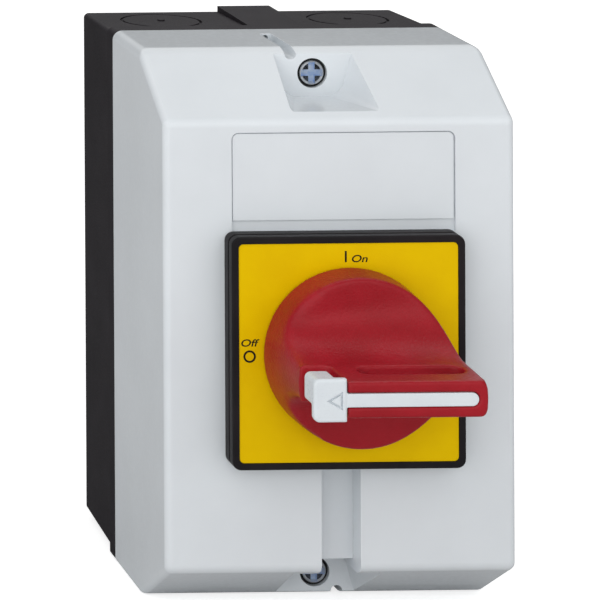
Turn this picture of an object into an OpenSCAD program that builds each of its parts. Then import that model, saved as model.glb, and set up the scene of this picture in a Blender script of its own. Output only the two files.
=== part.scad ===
/* [Enclosure cover] */
// Width of the cover
cover_w = 90.8; // [88:0.2:94]
// Height of the cover
cover_h = 145; // [142:0.5:148]
// Height of the flat front face
face_h = 116.6; // [112:0.2:120]
// Distance from the wall to the flat front face
face_depth = 84.8; // [83:0.2:87]
// Distance from the wall to the fold where the top and bottom start to slope
fold_depth = 61.4; // [59:0.2:63]
// Wall thickness of the cover
cover_t = 2.5; // [2:0.1:3]
// Corner radius of the cover seen from the front
cover_r = 2.6; // [1.5:0.1:4]

/* [Screw pockets] */
// Distance from the wall to the upright pad that holds a cover screw
pad_depth = 63.5; // [62.5:0.1:64.5]
// Distance from the middle of the cover to each pocket floor
pocket_floor = 60; // [59.5:0.1:60.5]
// Width of a pocket's pad at its floor
pocket_w = 14.6; // [13.4:0.2:16]
// Width of a pocket at its mouth
mouth_w = 24.4; // [22:0.2:26]
// Distance from the middle of the cover to each cover screw
screw_z = 66.1; // [65.5:0.1:66.5]

/* [Front details] */
// Width of the label recess
label_w = 57.8; // [50:0.2:60]
// Distance from the middle of the cover to the top of the label recess
label_top = 55.3; // [50:0.1:56]
// Depth of the label recess
label_depth = 0.9; // [0.4:0.1:1.2]
// Width of the channel below the plate
channel_w = 10.1; // [8:0.1:12]
// Depth of the channel below the plate
channel_depth = 6.1; // [4:0.1:7]

/* [Base tray] */
// Width of the tray at the wall
base_w = 87.5; // [84:0.5:89]
// Height of the tray at the wall
base_h = 140.8; // [138:0.2:142]
// Distance from the wall to the joint with the cover
joint_depth = 36; // [34:0.5:38]
// Depth of the flange that meets the cover
flange_depth = 6; // [5:0.5:10]
// Wall thickness of the tray
base_t = 2.6; // [2.2:0.1:3]
// Distance between the wall screw holes from side to side
wall_hole_w = 64; // [60:1:66]
// Distance between the wall screw holes from top to bottom
wall_hole_h = 112; // [108:1:114]
// Diameter of the wall screw holes
wall_hole_d = 5.2; // [4.2:0.1:6]
// Diameter of the cable entry knock-outs
knockout_d = 22; // [20:0.5:25]

/* [Plate] */
// Side of the square plate
plate_size = 60; // [58:0.5:62]
// Distance from the wall to the front of the plate's frame
plate_front = 91.5; // [91:0.1:92]
// Width of the frame around the legend
frame_w = 1.8; // [1.4:0.1:2.4]
// Corner radius of the plate
plate_r = 2.3; // [1:0.1:4]

/* [Handle] */
// Radius of the handle at its foot
handle_r = 22.2; // [21.6:0.1:23]
// Radius of the handle at its front
grip_r = 20.7; // [20.6:0.1:21.4]
// Distance from the wall to the ledge round the handle's bar
ledge_depth = 101.8; // [100:0.1:103]
// Distance from the wall to the front of the grip bar
handle_front = 131.4; // [130:0.2:133]
// Thickness of the grip bar
bar_t = 9; // [8.4:0.1:10]
// Travel of the padlock slide
slide_travel = 8; // [6:0.5:9]

/* [Switch] */
// Distance between the terminals of neighbouring poles
pole_pitch = 13; // [12.6:0.1:13.4]
// Depth of one pole's housing
deck_t = 10.5; // [10.5:0.1:11]
// Side of the square drive shaft
shaft_side = 6; // [5:0.1:6.4]

/* [Hidden] */
$fn = 64;
eps = 0.01;
fit = 0.05;
gap = 0.3;

// Cover: the slope's normal gives the inset of the inside surface
face_half = face_h / 2;
slope_drop = (cover_h - face_h) / 2;
slope_run = face_depth - fold_depth;
slope_len = norm([slope_drop, slope_run]);
slope_ny = slope_run / slope_len;
slope_nz = slope_drop / slope_len;
low_corner_r = 1.2;
edge_r = 1.8;
fold_r = 2.2;
pocket_slant = 0.27;
pocket_corner = 4.4;
pocket_rise = 20;
mouth_depth = face_depth + 4;
channel_mouth = 2.7;
channel_mouth_back = pad_depth + 6.5;
groove_x = 5.8;
groove_w = 3;
groove_floor = cover_h / 2 - 2.7;
groove_back = joint_depth + 6.5;
wire_r = 0.8;
wire_rise = 0.6;
sleeve_r = 5.5;
screw_r = 2;
screw_point = 22;
head_r = 3.2;
head_seat = pad_depth - 3.4;
head_top = pad_depth - 0.3;
well_r = 3.95;
ring_sunk = 0.8;
label_x = 1;
label_low = plate_size / 2 - 0.6;
label_r = 1.8;
insert_t = 0.6;
insert_low = 32.5;

// Base: the walls lean out a little from the wall to the flange
flange_back = joint_depth - flange_depth;
flange_w = cover_w - 0.8;
flange_h = cover_h - 1;
lean = 0.9;
base_r = 2;
wall_r = 1.5;
pillar_r = 4.8;
boss_w = 14.6;
boss_x = 1.35;
boss_h = 1.6;
boss_base = 6;
knockout_x = 26;
knockout_depth = 14.5;
score_w = 0.8;
pip_r = 1;
pip_h = 0.4;
foot_r = 4.5;
earth_foot_r = 3;
earth_foot_x = 12;
gasket_w = 1.8;
gasket_t = 1.6;

// Plate: two layers, with a shadow groove between them
layer_split = 88.4;
groove_h = 0.3;
legend_back = plate_front - 1;
legend_t = 0.7;
neck_r = 11.1;
neck_back = 74;
stub_r = 7;
nut_t = 6;
seal_back = 79.5;
seal_t = 3;
seal_r = 8.95;
ring_in = 14;
ring_out = 16;
ring_t = 1.2;
nut_r = 15.5;
opening_r = 18;
window_r = 1.2;
line_depth = 0.8;

// Handle: two scoops leave a bar standing across a low drum, and each is wider at its right end
handle_back = legend_back + legend_t + 0.4;
foot_edge = 0.4;
scoop_narrow = 0.49;
scoop_under = 0.8;
bar_spare = 0.4;
bar_r = 2.4;
shaft_end = 90;
shaft_room = 90.5;
notch_x = -13;
notch_floor = 117.5;
notch_r = 2.6;
track_half = 1.75;
track_floor = 118.6;
track_right = 18.5;
slot_left = -8;
slot_right = 18.2;
slot_back = 118;
slot_front = 124.6;
slide_front = handle_front + 0.2;
head_left = -22.3;
head_right = -14;
head_half = 5.35;
head_t = 1.9;
corner_r = 1.6;
grip_back = 124;
grip_w = 5.8;
grip_low = -1.4;
play = 0.08;
pointer_tip = -19.1;
pointer_base = -15.2;
pointer_half = 2.3;
pointer_line = 0.55;
pointer_deep = 0.6;

// Switch: a foot on the rail, three stacked poles, then the detent
rail_w = 35;
rail_web = 26;
rail_back = 5;
rail_h = 7.5;
rail_t = 1;
rail_len = 60;
rail_screw_x = 24;
foot_back = rail_back + rail_h + 0.1;
deck_back = 17;
deck_w = 46;
deck_h = 48;
cavity_r = 17.3;
rotor_r = 12;
hub_r = 4.9;
bridge_r = 16.2;
bridge_w = 6;
bridge_t = 1.4;
strip_w = 5;
strip_t = 1.2;
strip_bend = 20.5;
lug_w = 12;
lug_h = 12;
clamp_w = 8.6;
clamp_y = 30;
clamp_h = 8;
detent_t = 11.5;
detent_back = deck_back + 3 * deck_t;
detent_side = 46;
lid_t = 2;
stack_x = 20;
stack_screw_r = 1.5;
earth_y = -51.5;
earth_pitch = 9;
earth_w = 32;
earth_side = 7;
rail_head_r = 3.6;
hook_w = 30;
hook_h = 3.4;
hook_drop = 3;
latch_w = 16;
latch_h = 5;
latch_y = rail_w / 2 + 1.9;
shaft_clear = shaft_side * 0.8;
contact_near = 13.8;
contact_lift = 6.7;
entry_r = 2.7;
bridge_lift = 5;
bridge_hub = 8;
terminal_r = 1.7;
detent_room_w = 24.4;
detent_room_h = 32;
wheel_side = 17;
wheel_r = 10.8;
spring_t = 0.6;
spring_x = 11.6;
spring_h = 31.6;

POLES = ["rear", "middle", "front"];

light_grey = "#d8dde0";
black = "#2b2a2b";
yellow = "#dcb808";
red = "#9a1f26";
white = "#e6ebec";
zinc = "#b9bcc0";
brass = "#c9a24d";
copper = "#b87445";
housing_grey = "#8b8f92";
rubber = "#3a3a3a";
cream = "#c8c4b8";
orange = "#cc7722";

// Each piece is drawn as seen from the front, x right and y up, with z the distance from the wall
module from_wall() {
    rotate([90, 0, 0]) children();
}

function arc(x, y, r, from, to, steps = 6) = [
    for (i = [0 : steps])
        let (a = from + (to - from) * i / steps)
            [x + r * cos(a), y + r * sin(a)]
];

module rounded(w, h, r) {
    square([w - 2 * r, h], center = true);
    square([w, h - 2 * r], center = true);
    for (x = [-1, 1], y = [-1, 1])
        translate([x * (w / 2 - r), y * (h / 2 - r)])
            circle(r);
}

// A rounded slab between two depths
module slab(w, h, r, back, front) {
    translate([0, 0, back])
        linear_extrude(front - back)
            rounded(w, h, r);
}

// A block between two depths
module block(w, h, back, front, x = 0, y = 0) {
    translate([x - w / 2, y - h / 2, back])
        cube([w, h, front - back]);
}

// A round post or hole between two depths
module post(r, back, front, x = 0, y = 0) {
    translate([x, y, back])
        cylinder(r = r, h = front - back);
}

// An outline of height over depth, drawn out from side to side
module across(w) {
    rotate([90, 0, 90])
        translate([0, 0, -w / 2])
            linear_extrude(w)
                children();
}

// An outline of width over depth, drawn out from bottom to top
module upright(h) {
    translate([0, h / 2, 0])
        rotate([90, 0, 0])
            linear_extrude(h)
                children();
}

// The cover's outside, or with an inset the room inside it
module cover_block(inset, back) {
    half = cover_h / 2 - inset;
    face = face_half - inset * (1 - slope_nz) / slope_ny;
    fold = fold_depth - inset * (1 - slope_ny) / slope_nz;
    front = face_depth - inset;
    side = cover_w / 2 - inset;
    turn = atan2(slope_drop, slope_run);
    round_in = fold_r * tan(turn / 2);
    face_turn = 90 - turn;
    face_in = edge_r * tan(face_turn / 2);
    upper = concat(
        arc(half - fold_r, fold - round_in, fold_r, 0, turn),
        arc(face - face_in, front - edge_r, edge_r, turn, 90)
    );
    lower = [for (i = [len(upper) - 1 : -1 : 0]) [-upper[i][0], upper[i][1]]];
    flank = concat(
        [[side, back]],
        arc(side - edge_r, front - edge_r, edge_r, 0, 90),
        arc(edge_r - side, front - edge_r, edge_r, 90, 180),
        [[-side, back]]
    );
    intersection() {
        union() {
            slab(2 * side, 2 * half, cover_r, back, front);
            translate([0, -half / 2, 0])
                slab(2 * side, half, low_corner_r, back, front);
        }
        across(cover_w)
            polygon(concat([[half, back]], upper, lower, [[-half, back]]));
        upright(cover_h)
            polygon(flank);
    }
}

// The hollow in front of a cover screw, or with a skin its wall
module pocket(skin) {
    floor_y = pocket_floor - skin;
    half = pocket_w / 2 + skin;
    top_half = half + pocket_slant * pocket_rise;
    corner_x = half - pocket_corner * (norm([1, pocket_slant]) - pocket_slant);
    flare = (mouth_w - pocket_w) / 2 * (mouth_depth - pad_depth) / (face_depth - pad_depth);
    hull() {
        translate([0, 0, pad_depth - skin])
            linear_extrude(eps) {
                for (x = [-corner_x, corner_x])
                    translate([x, floor_y + pocket_corner])
                        circle(pocket_corner, $fn = 32);
                translate([-top_half, floor_y + pocket_rise - eps])
                    square([2 * top_half, eps]);
            }
        translate([0, 0, mouth_depth])
            linear_extrude(eps)
                polygon([
                    [-half - flare, floor_y], [half + flare, floor_y],
                    [top_half + flare, floor_y + pocket_rise], [-top_half - flare, floor_y + pocket_rise]
                ]);
    }
}

// The groove for a seal wire runs down to the pad, with a round bed and a slot to the joint at its back end
module seal_groove() {
    bed = groove_floor + groove_w / 2;
    front = pad_depth + 2;
    post(groove_w / 2, groove_back, front, -groove_x, bed);
    translate([-groove_x - groove_w / 2, bed, groove_back])
        cube([groove_w, 2 * groove_w, front - groove_back]);
    wire_y = groove_floor + wire_r + 0.1;
    for (y = [wire_y, wire_y + wire_rise])
        post(wire_r, joint_depth - 1, groove_back + 1, -groove_x, y);
    translate([-groove_x - wire_r, wire_y, joint_depth - 1])
        cube([2 * wire_r, wire_rise, groove_back + 2 - joint_depth]);
}

module seal_rib() {
    translate([-groove_x - groove_w, groove_floor - cover_t, joint_depth])
        cube([2 * groove_w, 2 * cover_t, pad_depth - joint_depth]);
}

// A label's outline, with two round upper corners
module label_outline(w, low, top, r) {
    translate([label_x - w / 2, low])
        square([w, top - low - r]);
    translate([label_x - w / 2 + r, low])
        square([w - 2 * r, top - low]);
    for (x = [-1, 1])
        translate([label_x + x * (w / 2 - r), top - r])
            circle(r);
}

// What both ends of the cover share, the lower one turned half round
module both_ends() {
    for (turn = [0, 180])
        rotate([0, 0, turn])
            children();
}

// The channel below the plate and its mouth in the roof of the lower pocket, or with a skin their walls
module channel(skin) {
    top = -label_low;
    width = channel_w + 2 * skin;
    front = face_depth + 1;
    low = -pocket_floor - 2;
    channel_floor = face_depth - channel_depth - skin;
    mouth_back = channel_mouth_back - skin;
    translate([-width / 2, low, channel_floor])
        cube([width, top + skin - low, front - channel_floor]);
    translate([-width / 2, low, mouth_back])
        cube([width, channel_mouth - pocket_floor + skin - low, front - mouth_back]);
}

module cover() color(light_grey) from_wall() {
    difference() {
        cover_block(0, joint_depth);
        difference() {
            cover_block(cover_t, joint_depth - 1);
            both_ends() {
                pocket(cover_t - 0.3);
                post(sleeve_r, joint_depth + gap, pad_depth, 0, screw_z);
                seal_rib();
            }
            channel(2);
        }
        both_ends() {
            pocket(0);
            seal_groove();
            post(screw_r + 0.2, joint_depth - 1, pad_depth, 0, screw_z);
            post(well_r, head_seat, pad_depth + 1, 0, screw_z);
        }
        channel(0);
        translate([0, 0, face_depth - label_depth])
            linear_extrude(label_depth + 1)
                label_outline(label_w, label_low, label_top, label_r);
        post(neck_r + 0.15, face_depth - cover_t - 1, face_depth + 1);
    }
}

// A thin plate in the recess for a written label
module label_insert() color(light_grey) from_wall() {
    translate([0, 0, face_depth - label_depth])
        linear_extrude(insert_t)
            label_outline(label_w - 2 * gap, insert_low, label_top - gap, label_r - gap);
}

module base_outside() {
    side = base_w / 2;
    top = base_h / 2;
    intersection() {
        slab(base_w + 2 * lean, base_h + 2 * lean, wall_r, 0, flange_back);
        across(cover_w)
            polygon([[-top, 0], [top, 0], [top + lean, flange_back], [-top - lean, flange_back]]);
        upright(cover_h)
            polygon([[-side, 0], [side, 0], [side + lean, flange_back], [-side - lean, flange_back]]);
    }
    slab(flange_w, flange_h, base_r, flange_back - eps, joint_depth);
    both_ends()
        block(boss_w, boss_base, 0, flange_back, boss_x, base_h / 2 + boss_h - boss_base / 2);
    both_ends()
        at_knockouts()
            cylinder(r = pip_r, h = lean * knockout_depth / flange_back + pip_h, $fn = 24);
}

// The middle of each cable entry on the top wall
module at_knockouts() {
    for (x = [-knockout_x, knockout_x])
        translate([x, base_h / 2, knockout_depth])
            rotate([-90, 0, 0])
                children();
}

// A round score line on the top wall
module knockout() {
    translate([0, -0.1, 0])
        at_knockouts()
            difference() {
                cylinder(d = knockout_d, h = 4);
                cylinder(d = knockout_d - 2 * score_w, h = 4);
            }
}

module cover_gasket() color(black) from_wall() {
    difference() {
        slab(flange_w - 3, flange_h - 3, base_r - 1, joint_depth - gasket_t, joint_depth);
        slab(flange_w - 3 - 2 * gasket_w, flange_h - 3 - 2 * gasket_w, 1.2,
             joint_depth - gasket_t - 1, joint_depth + 1);
    }
}

module base_tray() color(black) from_wall() {
    inner_w = base_w - 2 * base_t;
    inner_h = base_h - 2 * base_t;
    difference() {
        union() {
            difference() {
                base_outside();
                slab(inner_w, inner_h, base_r - 1, base_t, joint_depth + 1);
                both_ends() knockout();
            }
            both_ends()
                post(pillar_r, base_t - eps, joint_depth, 0, screw_z);
            for (x = [-rail_screw_x, rail_screw_x])
                post(foot_r, base_t - eps, rail_back, x, 0);
            for (x = [-earth_foot_x, earth_foot_x])
                post(earth_foot_r, base_t - eps, rail_back, x, earth_y);
        }
        difference() {
            slab(flange_w - 3 + 2 * fit, flange_h - 3 + 2 * fit, base_r - 1,
                 joint_depth - gasket_t, joint_depth + 1);
            slab(flange_w - 3 - 2 * gasket_w - 2 * fit, flange_h - 3 - 2 * gasket_w - 2 * fit, 1.2,
                 joint_depth - gasket_t - 1, joint_depth + 2);
        }
        both_ends()
            post(screw_r + fit, 8, joint_depth + 1, 0, screw_z);
        for (x = [-rail_screw_x, rail_screw_x])
            post(screw_r + fit, 1, rail_back + 1, x, 0);
        for (x = [-1, 1], y = [-1, 1])
            post(wall_hole_d / 2, -1, base_t + 1, x * wall_hole_w / 2, y * wall_hole_h / 2);
    }
}

// A screw standing on its point, with a cross recess in its head
module screw(shank_r, cap_r, point, seat, top, x, y) {
    cross = 1.3 * cap_r;
    blade = 0.3 * cap_r;
    difference() {
        union() {
            post(shank_r, point, seat + eps, x, y);
            post(cap_r, seat, top, x, y);
        }
        for (turn = [0, 90])
            translate([x, y, 0])
                rotate([0, 0, turn])
                    block(cross, blade, top - 0.6 * (top - seat), top + 1);
    }
}

module cover_screws() color(zinc) from_wall() {
    both_ends()
        screw(screw_r, head_r, screw_point, head_seat, head_top, 0, screw_z);
}

// A rubber ring round each cover screw's head
module cover_screw_seals() color(rubber) from_wall() {
    both_ends()
        difference() {
            post(well_r - fit, head_seat, head_top - ring_sunk, 0, screw_z);
            post(head_r + fit, head_seat - 1, head_top, 0, screw_z);
        }
}

module bezel_rear() color(black) from_wall() {
    difference() {
        union() {
            slab(plate_size, plate_size, plate_r, face_depth, layer_split);
            post(neck_r, neck_back, face_depth + eps);
        }
        post(stub_r + fit, neck_back - 1, layer_split + 1);
        post(seal_r + fit, seal_back, seal_back + seal_t);
        difference() {
            post(ring_out, face_depth - 1, face_depth + ring_t);
            post(ring_in, face_depth - 2, face_depth + 2);
        }
    }
}

module bezel_seal_ring() color(rubber) from_wall() {
    difference() {
        post(ring_out - fit, face_depth, face_depth + ring_t - fit);
        post(ring_in + fit, face_depth - 1, face_depth + 2);
    }
}

module shaft_seal() color(rubber) from_wall() {
    difference() {
        post(seal_r, seal_back + fit, seal_back + seal_t - fit);
        post(stub_r + fit, seal_back - 1, seal_back + seal_t + 1);
    }
}

module bezel_nut() color(black) from_wall() {
    back = face_depth - cover_t - nut_t;
    difference() {
        translate([0, 0, back])
            cylinder(r = nut_r, h = nut_t, $fn = 6);
        post(neck_r + fit, back - 1, back + nut_t + 1);
    }
}

module bezel_front() color(black) from_wall() {
    window = plate_size - 2 * frame_w;
    inner = plate_size - 2 * line_depth;
    difference() {
        union() {
            slab(inner, inner, plate_r, layer_split, layer_split + groove_h + eps);
            slab(plate_size, plate_size, plate_r, layer_split + groove_h, plate_front);
        }
        slab(window, window, window_r, legend_back, plate_front + 1);
        post(opening_r, layer_split - 1, plate_front);
    }
}

module legend_plate() color(yellow) from_wall() {
    side = plate_size - 2 * frame_w - 2 * fit;
    difference() {
        slab(side, side, window_r, legend_back, legend_back + legend_t);
        post(opening_r, legend_back - 1, plate_front);
    }
}

// The drum and the bar before they are scooped out, turned with a little draft
module handle_blank() {
    intersection() {
        rotate_extrude($fn = 96)
            polygon([
                [0, handle_back], [handle_r - foot_edge, handle_back], [handle_r, handle_back + foot_edge],
                [grip_r, handle_front], [0, handle_front]
            ]);
        union() {
            post(handle_r + 1, handle_back, slot_back + bar_spare);
            slab(2 * grip_r + 1, bar_t + bar_spare, bar_r, slot_back, handle_front);
        }
    }
}

// One end of a scoop: flat along the ledge, then curving up to the bar
module scoop_end(x, squeeze) {
    rise = squeeze * (slot_back - scoop_under - ledge_depth);
    curve = [
        for (turn = [0 : 10 : 90])
            [bar_t / 2 + rise * (1 - cos(turn)), ledge_depth + rise * (1 - sin(turn))]
    ];
    translate([x, 0, 0])
        across(eps)
            polygon(concat(
                [[bar_t / 2, handle_front + 1]],
                curve,
                [[handle_r + 2, ledge_depth], [handle_r + 2, handle_front + 1]]
            ));
}

// The hollow above the bar, narrow at its left end
module scoop() {
    hull() {
        scoop_end(-handle_r, scoop_narrow);
        scoop_end(handle_r, 1);
    }
}

// The step at the left of the bar that the slide's head hangs over
module notch() {
    upright(bar_t + 2)
        polygon(concat(
            [[-handle_r - 1, handle_front + 1], [-handle_r - 1, notch_floor]],
            arc(notch_x - notch_r, notch_floor + notch_r, notch_r, -90, 0),
            [[notch_x, handle_front + 1]]
        ));
}

// A long hole for the shackle, from side to side of the bar
module shackle_slot() {
    mid = (slot_back + slot_front) / 2;
    r = (slot_front - slot_back) / 2;
    rotate([90, 0, 0])
        translate([0, 0, -8]) {
            for (x = [slot_left + r, slot_right - r])
                translate([x, mid, 0])
                    cylinder(r = r, h = 16);
            translate([slot_left + r, slot_back, 0])
                cube([slot_right - slot_left - 2 * r, 2 * r, 16]);
        }
}

module handle() color(red) from_wall() {
    difference() {
        union() {
            handle_blank();
            post(stub_r, neck_back + 0.5, handle_back + eps);
        }
        scoop();
        mirror([0, 1, 0]) scoop();
        notch();
        shackle_slot();
        translate([notch_x - 1, -track_half, track_floor])
            cube([track_right - track_half - notch_x + 1, 2 * track_half, handle_front]);
        post(track_half, track_floor, handle_front + 1, track_right - track_half, 0);
        block(shaft_side + 2 * fit, shaft_side + 2 * fit, neck_back, shaft_room);
    }
}

module padlock_slide() color(white) from_wall() {
    half = track_half - play;
    right = track_right - track_half - 0.2;
    difference() {
        union() {
            translate([(head_left + head_right) / 2, 0, 0])
                slab(head_right - head_left, 2 * head_half, corner_r, slide_front - head_t, slide_front);
            translate([head_left, grip_low, grip_back])
                cube([grip_w, head_half - grip_low, slide_front - head_t - grip_back + eps]);
            translate([head_left + grip_w - 1, -half, grip_back])
                cube([right - head_left - grip_w + 1, 2 * half, handle_front - grip_back + fit]);
            translate([notch_x + 1, -half, track_floor + 0.2])
                cube([right - notch_x - 1, 2 * half, grip_back - track_floor]);
            post(half, track_floor + 0.2, handle_front + fit, right, 0);
        }
        translate([0, 0, slide_front - pointer_deep])
            linear_extrude(1)
                pointer_outline();
    }
}

// A triangle drawn as a groove, pointing outwards along the bar
module pointer_outline() {
    run = pointer_base - pointer_tip;
    inner_tip = pointer_tip + pointer_line * norm([run, pointer_half]) / pointer_half;
    inner_base = pointer_base - pointer_line;
    inner_half = pointer_half * (inner_base - inner_tip) / run;
    difference() {
        polygon([[pointer_tip, 0], [pointer_base, pointer_half], [pointer_base, -pointer_half]]);
        polygon([[inner_tip, 0], [inner_base, inner_half], [inner_base, -inner_half]]);
    }
}

module drive_shaft() color(zinc) from_wall() {
    block(shaft_side, shaft_side, deck_back + 1, shaft_end);
}

module mounting_rail() color(zinc) from_wall() {
    front = rail_back + rail_h;
    web = rail_web / 2;
    lip = rail_w / 2;
    difference() {
        across(rail_len)
            polygon([
                [-lip, front], [-lip, front - rail_t], [-web, front - rail_t], [-web, rail_back],
                [web, rail_back], [web, front - rail_t], [lip, front - rail_t], [lip, front],
                [web - rail_t, front], [web - rail_t, rail_back + rail_t],
                [rail_t - web, rail_back + rail_t], [rail_t - web, front]
            ]);
        for (x = [-rail_screw_x, rail_screw_x])
            post(screw_r + 0.2, rail_back - 1, rail_back + rail_t + 1, x, 0);
    }
}

module rail_screws() color(zinc) from_wall() {
    seat = rail_back + rail_t + fit;
    for (x = [-rail_screw_x, rail_screw_x])
        screw(screw_r, rail_head_r, 1.2, seat, seat + 2.2, x, 0);
}

// A hook that reaches round one lip of the rail
module rail_hook(w) {
    lip = rail_w / 2 + 0.2;
    lip_back = rail_back + rail_h - rail_t;
    reach = hook_h - 0.2;
    block(w, hook_h, lip_back - hook_drop, foot_back + eps, 0, lip + hook_h / 2);
    block(w, reach, lip_back - hook_drop, lip_back - gap, 0, lip + 0.2 - reach / 2);
}

module switch_foot() color(housing_grey) from_wall() {
    difference() {
        union() {
            block(deck_w, deck_h, foot_back, deck_back);
            rail_hook(hook_w);
        }
        stack_holes(foot_back + 1.4, deck_back + 1);
        block(latch_w + 2, latch_h + 0.4, foot_back - 1, foot_back + 1.2, 0, -latch_y);
    }
}

module rail_latch() color(orange) from_wall() {
    mirror([0, 1, 0]) {
        rail_hook(latch_w);
        block(latch_w, latch_h, foot_back - 0.1, foot_back + 1, 0, latch_y);
    }
}

module stack_holes(back, front) {
    for (x = [-stack_x, stack_x])
        post(stack_screw_r + fit, back, front, x, 0);
}

// The path of a fixed contact from the bridge to its terminal, widened by a margin
module contact_path(x, margin) {
    w = strip_w + 2 * margin;
    near = contact_near - margin;
    far = clamp_y + 3;
    translate([-w / 2, near])
        square([w, strip_bend + w / 2 - near]);
    translate([min(0, x) - w / 2, strip_bend - w / 2])
        square([abs(x) + w, w]);
    translate([x - w / 2, strip_bend - w / 2])
        square([w, far - strip_bend + w / 2 + margin]);
}

function pole_x(i) = (i - 1) * pole_pitch;
function pole_back(i) = deck_back + i * deck_t;

// Both sides of a pole: the line side above, the load side below
module both_sides() {
    children();
    mirror([0, 1, 0]) children();
}

module pole_housing(i) {
    back = pole_back(i);
    front = back + deck_t;
    x = pole_x(i);
    y = deck_h / 2 + lug_h / 2;
    color(housing_grey) from_wall() difference() {
        union() {
            block(deck_w, deck_h, back, front);
            both_sides()
                block(lug_w, lug_h + 2 * eps, back, front, x, y);
        }
        post(cavity_r, back + 1.2, front + 1);
        post(shaft_clear, back - 1, front);
        stack_holes(back - 1, front + 1);
        both_sides() {
            translate([0, 0, back + contact_lift - 0.2])
                linear_extrude(deck_t)
                    contact_path(x, 0.2);
            block(clamp_w + 0.5, clamp_h + 0.5, back + 1.2, front + 1, x, clamp_y);
            translate([x, clamp_y, back + 4.7])
                rotate([-90, 0, 0])
                    cylinder(r = entry_r, h = lug_h);
        }
    }
}

module rotor(i) {
    back = pole_back(i);
    color(cream) from_wall() difference() {
        union() {
            post(rotor_r, back + 1.6, back + bridge_lift);
            post(hub_r, back + bridge_lift - eps, back + deck_t - 0.4);
        }
        block(shaft_side + 2 * fit, shaft_side + 2 * fit, back, back + deck_t);
    }
}

module bridge(i) {
    back = pole_back(i) + bridge_lift;
    color(copper) from_wall() difference() {
        union() {
            post(bridge_hub, back, back + bridge_t);
            intersection() {
                block(2 * bridge_r, bridge_w, back, back + bridge_t);
                post(bridge_r, back, back + bridge_t);
            }
        }
        post(hub_r + fit, back - 1, back + bridge_t + 1);
    }
}

module contact(i, side) {
    back = pole_back(i) + contact_lift;
    color(copper) from_wall()
        mirror([0, side, 0])
            translate([0, 0, back])
                linear_extrude(strip_t)
                    contact_path(pole_x(i), 0);
}

module clamp(i, side) {
    back = pole_back(i) + 1.4;
    x = pole_x(i);
    color(brass) from_wall()
        mirror([0, side, 0])
            difference() {
                block(clamp_w, clamp_h, back, back + 8.8, x, clamp_y);
                block(clamp_w - 2.2, clamp_h + 2, back + 1.2, back + 6.6, x, clamp_y);
                post(terminal_r + 0.1, back + 6, back + 10, x, clamp_y);
            }
}

module terminal_screws() color(zinc) from_wall() {
    for (i = [0 : 2]) {
        back = pole_back(i);
        both_sides()
            screw(terminal_r, 3, back + 8, back + 10.25, back + 12, pole_x(i), clamp_y);
    }
}

module detent_housing() color(housing_grey) from_wall() {
    front = detent_back + detent_t;
    difference() {
        block(detent_side, detent_side, detent_back, front);
        block(detent_room_w, detent_room_h, detent_back + 1.4, front + 1);
        post(shaft_clear, detent_back - 1, front);
        stack_holes(detent_back - 1, front + 1);
    }
}

// A square wheel with its corners turned off
module detent_wheel() color(cream) from_wall() {
    back = detent_back + 2;
    front = detent_back + detent_t - 0.6;
    difference() {
        intersection() {
            block(wheel_side, wheel_side, back, front);
            post(wheel_r, back, front);
        }
        block(shaft_side + 2 * fit, shaft_side + 2 * fit, back - 1, front + 1);
    }
}

// A flat steel spring that stands beside the wheel
module detent_spring(side) {
    color(zinc) from_wall()
        block(spring_t, spring_h, detent_back + 1.6, detent_back + detent_t - 0.4, side * spring_x, 0);
}

module detent_lid() color(housing_grey) from_wall() {
    back = detent_back + detent_t;
    difference() {
        block(detent_side, detent_side, back, back + lid_t);
        post(shaft_clear, back - 1, back + lid_t + 1);
        stack_holes(back - 1, back + lid_t + 1);
    }
}

module stack_screws() color(zinc) from_wall() {
    seat = detent_back + detent_t + lid_t + fit;
    for (x = [-stack_x, stack_x])
        screw(stack_screw_r, 2.7, foot_back + 1.6, seat, seat + 1.8, x, 0);
}

module earth_bar() color(brass) from_wall() {
    difference() {
        block(earth_w, earth_side, rail_back, rail_back + earth_side, 0, earth_y);
        for (x = [-earth_pitch, 0, earth_pitch]) {
            post(terminal_r + fit, rail_back + 1, rail_back + earth_side + 1, x, earth_y);
            translate([x, earth_y - earth_side, rail_back + 3.2])
                rotate([-90, 0, 0])
                    cylinder(r = 1.6, h = 2 * earth_side);
        }
    }
}

module earth_screws() color(zinc) from_wall() {
    seat = rail_back + earth_side + fit;
    for (x = [-earth_pitch, 0, earth_pitch])
        screw(terminal_r, 2.8, seat - 2, seat, seat + 1.6, x, earth_y);
}

base_tray();
cover();
label_insert();
cover_gasket();
cover_screws();
cover_screw_seals();
bezel_rear();
bezel_front();
legend_plate();
bezel_seal_ring();
bezel_nut();
shaft_seal();
handle();
padlock_slide();
drive_shaft();
mounting_rail();
rail_screws();
switch_foot();
rail_latch();
for (i = [0 : 2]) {
    pole_housing(i);
    rotor(i);
    bridge(i);
    contact(i, 0);
    contact(i, 1);
    clamp(i, 0);
    clamp(i, 1);
}
terminal_screws();
detent_housing();
detent_wheel();
detent_spring(-1);  // detent_spring_left
detent_spring(1);  // detent_spring_right
detent_lid();
stack_screws();
earth_bar();
earth_screws();
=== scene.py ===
import math

import bmesh
import bpy
from mathutils import Matrix, Vector


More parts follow.
